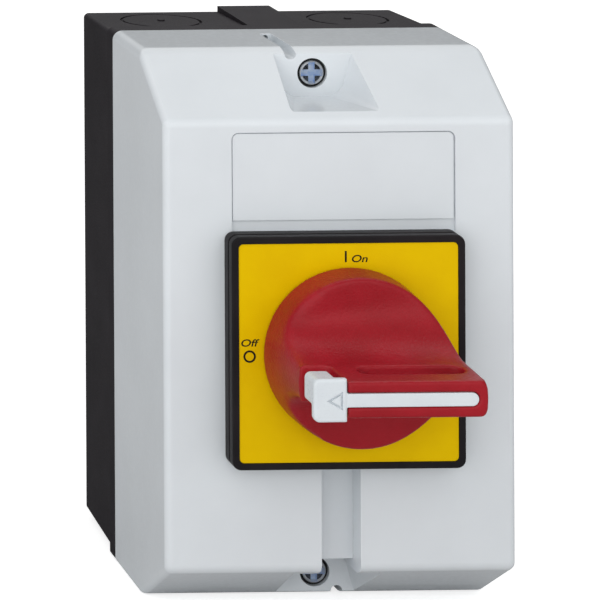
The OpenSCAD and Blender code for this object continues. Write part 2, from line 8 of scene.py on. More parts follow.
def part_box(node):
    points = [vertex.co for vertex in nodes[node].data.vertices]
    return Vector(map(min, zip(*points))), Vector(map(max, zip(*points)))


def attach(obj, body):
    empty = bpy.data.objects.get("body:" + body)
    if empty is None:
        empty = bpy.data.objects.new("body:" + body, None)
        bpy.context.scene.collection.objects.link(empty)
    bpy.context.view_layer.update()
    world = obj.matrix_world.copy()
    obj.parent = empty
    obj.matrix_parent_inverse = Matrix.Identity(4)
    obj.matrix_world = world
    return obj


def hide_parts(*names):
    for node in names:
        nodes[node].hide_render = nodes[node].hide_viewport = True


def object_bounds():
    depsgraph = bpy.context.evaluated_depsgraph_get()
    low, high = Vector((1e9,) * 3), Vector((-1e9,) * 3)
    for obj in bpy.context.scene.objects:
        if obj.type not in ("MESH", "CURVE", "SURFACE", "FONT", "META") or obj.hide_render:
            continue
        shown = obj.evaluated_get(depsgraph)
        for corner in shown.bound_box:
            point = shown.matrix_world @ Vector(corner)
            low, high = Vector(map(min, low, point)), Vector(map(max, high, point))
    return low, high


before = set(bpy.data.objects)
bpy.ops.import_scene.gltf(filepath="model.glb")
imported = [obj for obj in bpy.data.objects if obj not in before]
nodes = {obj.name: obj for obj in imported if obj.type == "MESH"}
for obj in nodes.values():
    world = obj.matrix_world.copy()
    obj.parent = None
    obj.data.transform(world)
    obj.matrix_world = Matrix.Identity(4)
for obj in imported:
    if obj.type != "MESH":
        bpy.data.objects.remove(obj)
cad_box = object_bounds()
MM = 0.001

# Camera: a view camera whose lens panel is shifted, so that the front face stays square in the picture
# while the top and the left side still show. The frame then sits far off the lens axis, and the camera's
# own axis is leant along the ray through the middle of the frame instead of being turned to it.
PICTURE_PX = 600
SENSOR_MM = 36
lens_px = 3419.5
lens_axis_px = Vector((-789.5, -590.3))
lens_at = Vector((-294.9, -962.1, 255.5)) * MM
roll, yaw, pitch = (math.radians(angle) for angle in (0.51, 0.357, -0.742))
upright = Vector((0, 0, 1))
level = Vector((math.cos(yaw), -math.sin(yaw), 0))
ahead = Vector((math.sin(yaw), math.cos(yaw), 0))
rise = math.cos(pitch) * upright - math.sin(pitch) * ahead
lens_axis = math.sin(pitch) * upright + math.cos(pitch) * ahead
picture_right = math.cos(roll) * level - math.sin(roll) * rise
picture_up = math.sin(roll) * level + math.cos(roll) * rise
off_axis = Vector((PICTURE_PX / 2, PICTURE_PX / 2)) - lens_axis_px
middle_ray = off_axis.x * picture_right - off_axis.y * picture_up + lens_px * lens_axis
camera_data = bpy.data.cameras.new("camera")
camera_data.sensor_width = SENSOR_MM
camera_data.lens = middle_ray.length / PICTURE_PX * SENSOR_MM
camera = bpy.data.objects.new("camera", camera_data)
tripod = bpy.data.objects.new("tripod", None)
for thing in (camera, tripod):
    bpy.context.scene.collection.objects.link(thing)
camera.parent = tripod
axes = (picture_right, picture_up, -middle_ray.normalized(), lens_at)
camera.matrix_parent_inverse = Matrix([[axis[row] for axis in axes] for row in range(3)] + [[0, 0, 0, 1]])
bpy.context.scene.camera = camera
bpy.context.scene.view_settings.view_transform = "Standard"


# Studio: one large soft lamp at the front left, and a sheet of white paper under the switch that keeps its
# shadow. The surround is white to the camera, and lights the switch more from in front than from behind. In
# reflections it is a dim room with a white panel above and behind and a small light box in front.
def colour(code):
    """The linear colour of an sRGB hex value."""
    parts = [int(code[i : i + 2], 16) / 255 for i in (1, 3, 5)]
    return [p / 12.92 if p <= 0.04045 else ((p + 0.055) / 1.055) ** 2.4 for p in parts] + [1]


def add_node(tree, kind, settings, links=()):
    """One shader node, with its settings or input values and its incoming links."""
    node = tree.nodes.new(kind)
    for name, value in settings.items():
        if isinstance(name, int) or name in node.inputs:
            node.inputs[name].default_value = value
        else:
            setattr(node, name, value)
    for name, source in links:
        tree.links.new(source, node.inputs[name])
    return node


wall_level, back_level, wall_turn = 0.95, 0.26, 0.3
room_level, panel_level, box_level = 0.1, 1.9, 1.2
panel_from = Vector((0, 0.58, 0.81)).normalized()
panel_edge, panel_full = 0.75, 0.92
box_from = Vector((0.3, -0.84, 0.44)).normalized()
box_edge, box_full = 0.93, 0.98
surround = bpy.data.worlds.new("studio_surround")
bpy.context.scene.world = surround
surround.use_nodes = True
tree = surround.node_tree
tree.nodes.clear()
path = add_node(tree, "ShaderNodeLightPath", {})
mirrored = add_node(
    tree,
    "ShaderNodeMath",
    {"operation": "MAXIMUM"},
    [(0, path.outputs["Is Glossy Ray"]), (1, path.outputs["Is Transmission Ray"])],
)
aim = add_node(tree, "ShaderNodeTexCoord", {})
heading = add_node(tree, "ShaderNodeSeparateXYZ", {}, [("Vector", aim.outputs["Generated"])])
walls = add_node(
    tree,
    "ShaderNodeMapRange",
    {"From Min": -wall_turn, "From Max": wall_turn, "To Min": wall_level, "To Max": back_level},
    [("Value", heading.outputs["Y"])],
)
toward_panel = add_node(
    tree,
    "ShaderNodeVectorMath",
    {"operation": "DOT_PRODUCT", 1: panel_from},
    [(0, aim.outputs["Generated"])],
)
panel = add_node(
    tree,
    "ShaderNodeMapRange",
    {"From Min": panel_edge, "From Max": panel_full, "To Min": room_level, "To Max": panel_level},
    [("Value", toward_panel.outputs["Value"])],
)
toward_box = add_node(
    tree,
    "ShaderNodeVectorMath",
    {"operation": "DOT_PRODUCT", 1: box_from},
    [(0, aim.outputs["Generated"])],
)
light_box = add_node(
    tree,
    "ShaderNodeMapRange",
    {"From Min": box_edge, "From Max": box_full, "To Max": box_level},
    [("Value", toward_box.outputs["Value"])],
)
room = add_node(
    tree, "ShaderNodeMath", {"operation": "ADD"}, [(0, panel.outputs[0]), (1, light_box.outputs[0])]
)
light = add_node(
    tree,
    "ShaderNodeMapRange",
    {},
    [("Value", mirrored.outputs[0]), ("To Min", walls.outputs[0]), ("To Max", room.outputs[0])],
)
light_seen = add_node(
    tree,
    "ShaderNodeMath",
    {"operation": "MAXIMUM"},
    [(0, path.outputs["Is Camera Ray"]), (1, light.outputs[0])],
)
white = add_node(
    tree, "ShaderNodeBackground", {"Color": (1, 1, 1, 1)}, [("Strength", light_seen.outputs[0])]
)
add_node(tree, "ShaderNodeOutputWorld", {}, [("Surface", white.outputs[0])])

lamp_aim = Vector((0, -75, 0)) * MM
lamp_from = Vector((-0.572, -0.734, 0.266)).normalized()
lamp_distance, lamp_size, lamp_watts = 1.0, 1.4, 4.2
lamp_data = bpy.data.lights.new("soft_lamp", "AREA")
lamp_data.size = lamp_size
lamp_data.energy = lamp_watts
lamp = bpy.data.objects.new("soft_lamp", lamp_data)
bpy.context.scene.collection.objects.link(lamp)
lamp.location = lamp_aim + lamp_from * lamp_distance
lamp.rotation_euler = (-lamp_from).to_track_quat("-Z", "Y").to_euler()

paper_gap = 0.1 * MM
paper_side, paper_front = 6, -0.45
paper_tone, paper_mirrored, paper_glow = 0.75, 0.42, 0.7
bpy.ops.object.select_all(action="DESELECT")
bpy.ops.mesh.primitive_plane_add(
    size=paper_side, location=(0, paper_front + paper_side / 2, cad_box[0].z - paper_gap)
)
floor = bpy.context.object
floor.name = "floor"
paper = bpy.data.materials.new("white_paper")
paper.use_nodes = True
tree = paper.node_tree
tree.nodes.clear()
path = add_node(tree, "ShaderNodeLightPath", {})
tone = add_node(
    tree,
    "ShaderNodeMapRange",
    {"To Min": paper_tone, "To Max": paper_mirrored},
    [("Value", path.outputs["Is Glossy Ray"])],
)
matt = add_node(tree, "ShaderNodeBsdfDiffuse", {}, [("Color", tone.outputs[0])])
lift = add_node(
    tree, "ShaderNodeMath", {"operation": "MULTIPLY", 1: paper_glow}, [(0, path.outputs["Is Camera Ray"])]
)
glow = add_node(tree, "ShaderNodeEmission", {"Color": (1, 1, 1, 1)}, [("Strength", lift.outputs[0])])
lit = add_node(tree, "ShaderNodeAddShader", {}, [(0, matt.outputs[0]), (1, glow.outputs[0])])
add_node(tree, "ShaderNodeOutputMaterial", {}, [("Surface", lit.outputs[0])])
floor.data.materials.append(paper)


# Base tray: the black tray that is screwed to the wall, moulded in glass-filled polyamide with a fine
# eroded skin, with a flange round its mouth and scored discs that are knocked out for cable glands.
def moulded(name, tone, deep, flow_mm, grain_mm, relief_mm, rough, shine):
    """A moulded plastic: a tone that drifts with the melt flow, and a grain from the skin of the mould.

    The grain is drawn at several times its real 0.05 to 0.1 mm, so that it shows.
    """
    material = bpy.data.materials.new(name)
    material.use_nodes = True
    tree = material.node_tree
    shader = tree.nodes["Principled BSDF"]
    shader.inputs["Specular IOR Level"].default_value = shine
    gloss_spread = 0.05
    place = add_node(tree, "ShaderNodeTexCoord", {})
    flow = add_node(
        tree,
        "ShaderNodeTexNoise",
        {"Scale": 1 / (flow_mm * MM), "Detail": 4.0, "Roughness": 0.6},
        [("Vector", place.outputs["Object"])],
    )
    spread = add_node(
        tree, "ShaderNodeMapRange", {"From Min": 0.35, "From Max": 0.65}, [("Value", flow.outputs["Fac"])]
    )
    tint = add_node(
        tree,
        "ShaderNodeMix",
        {"data_type": "RGBA", 6: colour(tone), 7: colour(deep)},
        [("Factor", spread.outputs[0])],
    )
    grain = add_node(
        tree,
        "ShaderNodeTexNoise",
        {"Scale": 1 / (grain_mm * MM), "Detail": 2.0, "Roughness": 0.6},
        [("Vector", place.outputs["Object"])],
    )
    gloss = add_node(
        tree,
        "ShaderNodeMapRange",
        {"From Min": 0.3, "From Max": 0.7, "To Min": rough - gloss_spread, "To Max": rough + gloss_spread},
        [("Value", grain.outputs["Fac"])],
    )
    relief = add_node(
        tree,
        "ShaderNodeBump",
        {"Strength": 1.0, "Distance": relief_mm * MM},
        [("Height", grain.outputs["Fac"])],
    )
    tree.links.new(tint.outputs[2], shader.inputs["Base Color"])
    tree.links.new(gloss.outputs[0], shader.inputs["Roughness"])
    tree.links.new(relief.outputs[0], shader.inputs["Normal"])
    return material


def at(x, depth, z):
    """A place from the middle of the wall face, in millimetres: to the right, out from the wall, up."""
    return Vector((x, -depth, z)) * MM


def edit(piece, kind="EDGE"):
    """Opens a piece's mesh with nothing selected."""
    bpy.ops.object.select_all(action="DESELECT")
    piece.select_set(True)
    bpy.context.view_layer.objects.active = piece
    bpy.ops.object.mode_set(mode="EDIT")
    bpy.ops.mesh.select_mode(type=kind)
    bpy.ops.mesh.select_all(action="DESELECT")
    return bmesh.from_edit_mesh(piece.data)


def done():
    """Closes the mesh that is open."""
    bpy.ops.object.mode_set(mode="OBJECT")


def middle_of(edge):
    """The middle of an edge in millimetres: to the right, out from the wall, up."""
    spot = (edge.verts[0].co + edge.verts[1].co) / 2 / MM
    return Vector((spot.x, -spot.y, spot.z))


def along(edge, axis):
    """Whether an edge runs along an axis: 0 to the right, 1 out from the wall, 2 up."""
    run = edge.verts[1].co - edge.verts[0].co
    return abs(run[axis]) > 0.99 * run.length


def sharp(edge, degrees=28):
    """Whether two faces meet at an edge with a clear turn."""
    return len(edge.link_faces) == 2 and edge.calc_face_angle() > math.radians(degrees)


def round_edges(piece, radius, steps, chosen):
    """Rounds the edges that the test chooses."""
    mesh = edit(piece)
    for edge in mesh.edges:
        edge.select_set(chosen(edge))
    bmesh.update_edit_mesh(piece.data)
    bpy.ops.mesh.bevel(
        offset=radius * MM, segments=steps, affect="EDGES", clamp_overlap=True, loop_slide=False
    )
    done()


def smooth(piece, angle):
    """Shades a piece smooth, apart from edges sharper than an angle, with its flat faces kept flat."""
    bpy.ops.object.select_all(action="DESELECT")
    piece.select_set(True)
    bpy.context.view_layer.objects.active = piece
    bpy.ops.object.shade_smooth_by_angle(angle=math.radians(angle))
    even = piece.modifiers.new("even", "WEIGHTED_NORMAL")
    even.keep_sharp = True
    bpy.ops.object.modifier_apply(modifier=even.name)


def dress(piece, material):
    """Gives a piece its finish."""
    piece.data.materials.clear()
    piece.data.materials.append(material)


def fit(piece, material, body, slot, *stands_for):
    """Gives a modelled piece its finish and its body, and hides the nodes that it stands for. Its slot is
    not used.
    """
    dress(piece, material)
    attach(piece, body)
    if stands_for:
        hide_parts(*stands_for)


def block(name, low, high):
    """A block between two corners."""
    bpy.ops.object.select_all(action="DESELECT")
    sides = [abs(b - a) * MM for a, b in zip(low, high)]
    bpy.ops.mesh.primitive_cube_add(size=1, location=(at(*low) + at(*high)) / 2, scale=sides)
    bpy.ops.object.transform_apply(location=True, rotation=True, scale=True)
    piece = bpy.context.object
    piece.name = piece.data.name = name
    return piece


def turned_body(name, x, z, rings, sides=64):
    """A body turned about an axis out from the wall, through its rings of radius and depth."""
    bpy.ops.object.select_all(action="DESELECT")
    radius, depth = rings[0]
    bpy.ops.mesh.primitive_circle_add(
        vertices=sides,
        radius=radius * MM,
        fill_type="NGON",
        location=at(x, depth, z),
        rotation=(math.pi / 2, 0, 0),
    )
    bpy.ops.object.transform_apply(location=True, rotation=True, scale=True)
    piece = bpy.context.object
    piece.name = piece.data.name = name
    edit(piece, "FACE")
    bpy.ops.mesh.select_all(action="SELECT")
    for (radius, depth), (next_radius, next_depth) in zip(rings, rings[1:]):
        bpy.ops.mesh.extrude_region_move(TRANSFORM_OT_translate={"value": (0, (depth - next_depth) * MM, 0)})
        if next_radius != radius:
            bpy.ops.transform.resize(value=[next_radius / radius] * 3)
    bpy.ops.mesh.select_all(action="SELECT")
    bpy.ops.mesh.normals_make_consistent(inside=False)
    done()
    return piece


def combine(piece, tool, operation):
    """Cuts a tool out of a piece, or adds it on, and takes the tool away."""
    change = piece.modifiers.new("change", "BOOLEAN")
    change.operation = operation
    change.object = tool
    change.solver = "EXACT"
    bpy.context.view_layer.objects.active = piece
    bpy.ops.object.modifier_apply(modifier=change.name)
    bpy.data.objects.remove(tool)


def merged_copy(name, node):
    """A copy of a CAD node's mesh, merged to one skin with its flat faces whole."""
    piece = bpy.data.objects.new(name, nodes[node].data.copy())
    bpy.context.scene.collection.objects.link(piece)
    edit(piece)
    bpy.ops.mesh.select_all(action="SELECT")
    bpy.ops.mesh.customdata_custom_splitnormals_clear()
    bpy.ops.mesh.remove_doubles(threshold=0.002 * MM)
    bpy.ops.mesh.dissolve_limited(angle_limit=math.radians(0.5))
    done()
    return piece


def moved_copy(name, piece, move):
    """A copy of a piece with its own mesh, turned or mirrored about the middle of the wall face."""
    other = bpy.data.objects.new(name, piece.data.copy())
    bpy.context.scene.collection.objects.link(other)
    other.data.transform(move)
    if move.is_negative:
        other.data.flip_normals()
    return other


HALF_TURN = Matrix.Rotation(math.pi, 4, "Y")
SIDE_TO_SIDE = Matrix.Diagonal((-1, 1, 1, 1))
TOP_TO_BOTTOM = Matrix.Diagonal((1, 1, -1, 1))


def both_ends(piece, tool, operation):
    """Uses a tool at the top of a piece and, turned half round, at its bottom."""
    other = moved_copy("other_end", tool, HALF_TURN)
    combine(piece, tool, operation)
    combine(piece, other, operation)


def pick(piece, chosen):
    """Selects the vertices of the open mesh that the test chooses by place, in millimetres."""
    mesh = bmesh.from_edit_mesh(piece.data)
    for vert in mesh.verts:
        vert.select_set(chosen(vert.co.x / MM, -vert.co.y / MM, vert.co.z / MM))
    bmesh.update_edit_mesh(piece.data)


base_half_w, base_half_h, base_depth, base_lean = 43.75, 70.4, 30, 0.9
tray_corner_r, tray_edge_r = 1.5, 0.4
tray = merged_copy("tray", "base_tray")
corner_x, corner_z = base_half_w - tray_corner_r, base_half_h - tray_corner_r
corner = block("corner", (corner_x, -1, corner_z), (base_half_w + 2, base_depth - 0.1, base_half_h + 2))
post = turned_body("post", corner_x, corner_z, [(tray_corner_r, -2), (tray_corner_r, base_depth)])
combine(corner, post, "DIFFERENCE")
edit(corner, "VERT")
pick(corner, lambda x, depth, z: depth > base_depth / 2)
bpy.ops.transform.translate(value=(base_lean * MM, 0, base_lean * MM))
done()
left_corner = moved_copy("left_corner", corner, SIDE_TO_SIDE)
both_ends(tray, corner, "DIFFERENCE")
both_ends(tray, left_corner, "DIFFERENCE")

flange_half_w, flange_half_h, flange_skin = 45.2, 72.4, 1.5
flange_r, flange_low_r = 2, 0.8
flange_front = -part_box("base_tray")[0].y / MM
flange = block(
    "flange", (-flange_half_w, base_depth, -flange_half_h), (flange_half_w, flange_front, flange_half_h)
)
round_edges(flange, flange_r, 5, lambda edge: along(edge, 1) and middle_of(edge).z > 0)
round_edges(flange, flange_low_r, 4, lambda edge: along(edge, 1) and middle_of(edge).z < 0)
mouth_half_w, mouth_half_h = flange_half_w - flange_skin, flange_half_h - flange_skin
tray_mouth = block(
    "tray_mouth",
    (-mouth_half_w, base_depth - 1, -mouth_half_h),
    (mouth_half_w, flange_front + 1, mouth_half_h),
)
combine(flange, tray_mouth, "DIFFERENCE")
combine(tray, flange, "UNION")
round_edges(tray, tray_edge_r, 2, lambda edge: sharp(edge, 40))
smooth(tray, 35)
# Black glass-filled polyamide, eroded mould: near black and dull, with a fine stipple that greys at a slant.
black_polyamide = moulded(
    "black_polyamide", "#2e2b2f", "#272428",
    flow_mm=22, grain_mm=0.4, relief_mm=0.02, rough=0.6, shine=0.12,
)
fit(tray, black_polyamide, "enclosure", "black_plastic", "base_tray")


# Rail and switch: a steel rail in the tray carries the switch, three poles of moulded thermoset with copper
# contacts and brass terminals, and a snap mechanism on top. They keep the shapes of the frame's own parts.
def metal(name, tone, deep, patch_mm, line_mm, relief_mm, rough):
    """A rolled or plated metal: patches of two tones and fine lines from rolling or drawing.

    The lines are drawn at several times their real 0.05 mm, so that they show.
    """
    material = bpy.data.materials.new(name)
    material.use_nodes = True
    tree = material.node_tree
    shader = tree.nodes["Principled BSDF"]
    shader.inputs["Metallic"].default_value = 1.0
    across, line_stretch, gloss_spread = 1 / (line_mm * MM), 12, 0.08
    place = add_node(tree, "ShaderNodeTexCoord", {})
    patch = add_node(
        tree,
        "ShaderNodeTexNoise",
        {"Scale": 1 / (patch_mm * MM), "Detail": 3.0},
        [("Vector", place.outputs["Object"])],
    )
    tint = add_node(
        tree,
        "ShaderNodeMix",
        {"data_type": "RGBA", 6: colour(tone), 7: colour(deep)},
        [("Factor", patch.outputs["Fac"])],
    )
    drawn = add_node(
        tree,
        "ShaderNodeMapping",
        {"Scale": (across, across / line_stretch, across)},
        [("Vector", place.outputs["Object"])],
    )
    lines = add_node(
        tree, "ShaderNodeTexNoise", {"Scale": 1.0, "Detail": 2.0}, [("Vector", drawn.outputs[0])]
    )
    gloss = add_node(
        tree,
        "ShaderNodeMapRange",
        {"From Min": 0.3, "From Max": 0.7, "To Min": rough - gloss_spread, "To Max": rough + gloss_spread},
        [("Value", lines.outputs["Fac"])],
    )
    relief = add_node(
        tree,
        "ShaderNodeBump",
        {"Strength": 1.0, "Distance": relief_mm * MM},
        [("Height", lines.outputs["Fac"])],
    )
    tree.links.new(tint.outputs[2], shader.inputs["Base Color"])
    tree.links.new(gloss.outputs[0], shader.inputs["Roughness"])
    tree.links.new(relief.outputs[0], shader.inputs["Normal"])
    return material


POLES = ("rear", "middle", "front")
# Bright zinc plating over drawn steel: bluish silver, clouded in patches by the passivating bath.
zinc_plate = metal(
    "bright_zinc_plate", "#c9d0da", "#aab2bf",
    patch_mm=3, line_mm=0.3, relief_mm=0.004, rough=0.3,
)
plated = ("mounting_rail", "rail_screws", "terminal_screws", "stack_screws", "earth_screws", "drive_shaft")
for node in plated:
    dress(nodes[node], zinc_plate)
# Pressed thermoset: a dull mid grey with a mineral speckle and flow clouds.
grey_thermoset = moulded(
    "grey_thermoset", "#8e9295", "#7d8184",
    flow_mm=12, grain_mm=0.5, relief_mm=0.02, rough=0.55, shine=0.35,
)
for node in ["switch_foot", "detent_housing", "detent_lid"] + [f"pole_housing_{pole}" for pole in POLES]:
    dress(nodes[node], grey_thermoset)
# Orange acetal: waxy and even, with a soft gloss.
orange_acetal = moulded(
    "orange_acetal", "#cf7a22", "#c06d1a",
    flow_mm=9, grain_mm=0.4, relief_mm=0.006, rough=0.35, shine=0.4,
)
dress(nodes["rail_latch"], orange_acetal)
# Natural polyamide: cream, slightly cloudy, with a soft gloss.
cream_polyamide = moulded(
    "cream_polyamide", "#d6d0bf", "#c8c1ad",
    flow_mm=8, grain_mm=0.4, relief_mm=0.006, rough=0.4, shine=0.4,
)
for node in ["detent_wheel"] + [f"rotor_{pole}" for pole in POLES]:
    dress(nodes[node], cream_polyamide)
# Stamped copper: warm and bright, browner where it has been handled, with rolling lines.
stamped_copper = metal(
    "stamped_copper", "#c8835a", "#a9653f",
    patch_mm=5, line_mm=0.25, relief_mm=0.004, rough=0.28,
)
for pole in POLES:
    for node in (f"bridge_{pole}", f"line_contact_{pole}", f"load_contact_{pole}"):
        dress(nodes[node], stamped_copper)
# Drawn brass: yellow, with draw lines and a slight tarnish in patches.
drawn_brass = metal(
    "drawn_brass", "#d0ac5c", "#b38d3f",
    patch_mm=6, line_mm=0.25, relief_mm=0.004, rough=0.3,
)
for node in ["earth_bar"] + [f"{side}_clamp_{pole}" for side in ("line", "load") for pole in POLES]:
    dress(nodes[node], drawn_brass)
# Cold-rolled spring steel: dark grey and streaked along the strip.
spring_steel = metal(
    "cold_rolled_spring_steel", "#9a9ca0", "#7e8086",
    patch_mm=8, line_mm=0.2, relief_mm=0.003, rough=0.25,
)
for side in ("left", "right"):
    dress(nodes[f"detent_spring_{side}"], spring_steel)
# Moulded rubber: dull black with a bloom that greys it in places.
seal_rubber = moulded(
    "seal_rubber", "#262627", "#303031",
    flow_mm=5, grain_mm=0.3, relief_mm=0.01, rough=0.75, shine=0.25,
)
for node in ("cover_gasket", "bezel_seal_ring", "shaft_seal"):
    dress(nodes[node], seal_rubber)


# Cover: the light grey lid, moulded in smooth polycarbonate. Its top and bottom slope back to the joint,
# and it has a pocket at each end for a screw, a recess for a label and a channel below the plate.
low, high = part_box("cover")
half_w, half_h = high.x / MM, high.z / MM
joint, face = -high.y / MM, -low.y / MM
wall = 2.5
fold = 61.4
face_half = 58.3
slope_out = Vector((0, -(half_h - face_half), face - fold)).normalized()


def cover_block(name, inset, back):
    """The cover's outside, or with an inset the room inside it."""
    side, end = half_w - inset, half_h - inset
    piece = block(name, (-side, back, -end), (side, face - inset, end))
    for way in (1, -1):
        edit(piece)
        bpy.ops.mesh.select_all(action="SELECT")
        outward = Vector((0, slope_out.y, way * slope_out.z))
        bpy.ops.mesh.bisect(
            plane_co=at(0, fold, way * half_h) - outward * inset * MM,
            plane_no=outward,
            use_fill=True,
            clear_outer=True,
        )
        done()
    return piece


corner_r, low_corner_r, fold_r, edge_r = 2.6, 1.2, 2.2, 1.8
joint_edge_r, trim = 0.3, 6
cover = cover_block("cover_shell", 0, joint - trim)
mesh = edit(cover)
weight = mesh.edges.layers.float.new("bevel_weight_edge")
for edge in mesh.edges:
    spot = middle_of(edge)
    radius = edge_r
    if spot.y < joint - trim + 0.1:
        radius = 0
    elif along(edge, 1):
        radius = corner_r if spot.z > 0 else low_corner_r
    elif abs(spot.y - fold) < 0.1:
        radius = fold_r
    edge[weight] = radius / corner_r
bmesh.update_edit_mesh(cover.data)
done()
bevel = cover.modifiers.new("rounding", "BEVEL")
bevel.limit_method = "WEIGHT"
bevel.width = corner_r * MM
bevel.segments = 6
bpy.context.view_layer.objects.active = cover
bpy.ops.object.modifier_apply(modifier=bevel.name)
edit(cover)
bpy.ops.mesh.select_all(action="SELECT")
bpy.ops.mesh.bisect(plane_co=at(0, joint, 0), plane_no=(0, 1, 0), use_fill=True, clear_outer=True)
done()
round_edges(cover, joint_edge_r, 2, lambda edge: sharp(edge) and middle_of(edge).y < joint + 0.1)

pad, pocket_floor, screw_z = 63.5, 60, 66.1
pad_half, pad_slant, pad_corner = 7.3, 0.27, 3.4
mouth_half = 12.2
pocket_top = 80
mouth = face + 4


def pocket(name, skin):
    """The hollow in front of a cover screw: an upright pad with round lower corners, and flared walls."""
    floor_z = pocket_floor - skin
    half = pad_half + skin
    height = pocket_top - floor_z
    bpy.ops.object.select_all(action="DESELECT")
    bpy.ops.mesh.primitive_plane_add(
        size=1,
        location=at(0, pad - skin, floor_z + height / 2),
        rotation=(math.pi / 2, 0, 0),
    )
    piece = bpy.context.object
    piece.scale = (2 * half * MM, height * MM, 1)
    bpy.ops.object.transform_apply(location=True, rotation=True, scale=True)
    piece.name = piece.data.name = name
    edit(piece, "VERT")
    pick(piece, lambda x, depth, z: z > pocket_top - 1)
    bpy.ops.transform.resize(value=(1 + pad_slant * height / half, 1, 1))
    bpy.ops.mesh.select_all(action="INVERT")
    bpy.ops.mesh.bevel(offset=pad_corner * MM, segments=6, affect="VERTICES")
    bpy.ops.mesh.select_all(action="SELECT")
    run = (mouth - pad + skin) * MM
    bpy.ops.mesh.extrude_region_move(TRANSFORM_OT_translate={"value": (0, -run, 0)})
    flare = (mouth_half - pad_half) * (mouth - pad) / (face - pad)
    for side in (-1, 1):
        pick(piece, lambda x, depth, z: depth > mouth - 0.01 and x * side > 0 and z > pocket_top - 1)
        bpy.ops.transform.translate(value=(side * flare * MM, 0, 0))
        pick(piece, lambda x, depth, z: depth > mouth - 0.01 and x * side > 0 and z < pocket_top - 1)
        bpy.ops.mesh.merge(type="CENTER")
        mesh = bmesh.from_edit_mesh(piece.data)
        corner = next(vert for vert in mesh.verts if vert.select)
        shift = at(side * (half + flare), 0, floor_z) - Vector((corner.co.x, 0, corner.co.z))
        bpy.ops.transform.translate(value=shift)
    bpy.ops.mesh.select_all(action="SELECT")
    bpy.ops.mesh.normals_make_consistent(inside=False)
    done()
    return piece


channel_w, channel_deep = 10.1, 6.1
plate_edge = -29.4
groove_x, groove_w, groove_deep = -5.8, 3.0, 2.7
groove_bed, groove_back = half_h - groove_deep, joint + 6.5
inside = cover_block("inside", wall, joint - 1)
groove_rib = block(
    "groove_rib",
    (groove_x - groove_w, joint, groove_bed - wall),
    (groove_x + groove_w, pad, groove_bed + wall),
)
both_ends(inside, groove_rib, "DIFFERENCE")
both_ends(inside, pocket("pocket_wall", wall - 0.3), "DIFFERENCE")
sleeve_r = 5.5
sleeve = turned_body("sleeve", 0, screw_z, [(sleeve_r, joint + 0.3), (sleeve_r, pad)])
both_ends(inside, sleeve, "DIFFERENCE")
channel_skin = 2
channel_end = -pocket_floor - channel_skin
channel_wall = block(
    "channel_wall",
    (-channel_w / 2 - channel_skin, face - channel_deep - channel_skin, channel_end),
    (channel_w / 2 + channel_skin, face + 1, plate_edge + channel_skin),
)
mouth_top, mouth_back = -57.3, pad + 6.5
mouth_wall = block(
    "mouth_wall",
    (-channel_w / 2 - channel_skin, mouth_back - channel_skin, channel_end),
    (channel_w / 2 + channel_skin, face + 1, mouth_top + channel_skin),
)
combine(channel_wall, mouth_wall, "UNION")
combine(inside, channel_wall, "DIFFERENCE")
combine(cover, inside, "DIFFERENCE")

both_ends(cover, pocket("pocket", 0), "DIFFERENCE")
channel = block(
    "channel", (-channel_w / 2, face - channel_deep, channel_end), (channel_w / 2, face + 1, plate_edge)
)
channel_mouth = block(
    "channel_mouth", (-channel_w / 2, mouth_back, channel_end), (channel_w / 2, face + 1, mouth_top)
)
combine(channel, channel_mouth, "UNION")
combine(cover, channel, "DIFFERENCE")
label_x, label_w, label_top, label_deep, label_r = 1.0, 57.8, 55.3, 0.9, 1.8
recess = block(
    "recess",
    (label_x - label_w / 2, face - label_deep, -plate_edge),
    (label_x + label_w / 2, face + 1, label_top),
)
round_edges(recess, label_r, 5, lambda edge: along(edge, 1) and middle_of(edge).z > label_top - 1)
combine(cover, recess, "DIFFERENCE")


rim_r, pocket_rim_r = 0.35, 0.6
pocket_end = pocket_floor - 0.1
under_plate, rim_reach = 30, 3


def on_rim(edge):
    """Whether an edge is a sharp one that the cuts left on the outside."""
    spot = middle_of(edge)
    hidden = abs(spot.x) < under_plate and abs(spot.z) < under_plate
    outside = spot.y > pad - 0.1 and (spot.y > face - rim_reach or abs(spot.z) > pocket_end)
    in_channel = abs(spot.x) < channel_w / 2 + 0.1 and spot.y > face - channel_deep - 0.1 and spot.z < 0
    return sharp(edge) and not hidden and (outside or in_channel)


round_edges(cover, pocket_rim_r, 4, lambda edge: on_rim(edge) and abs(middle_of(edge).z) > pocket_end)
round_edges(cover, rim_r, 3, lambda edge: on_rim(edge) and abs(middle_of(edge).z) < pocket_end)

groove = block(
    "groove",
    (groove_x - groove_w / 2, groove_back, groove_bed),
    (groove_x + groove_w / 2, pad + 2, half_h + 1),
)
round_edges(groove, 0.45 * groove_w, 5, lambda edge: along(edge, 1) and middle_of(edge).z < half_h)
both_ends(cover, groove, "DIFFERENCE")


def on_groove(edge):
    """Whether an edge is on the rim of a wire groove."""
    spot = middle_of(edge)
    across = spot.x * math.copysign(1, spot.z) - groove_x
    return (
        sharp(edge, 40)
        and abs(across) < groove_w / 2 + 0.1
        and abs(spot.z) > groove_bed + 1
        and spot.y > groove_back - 0.1
    )


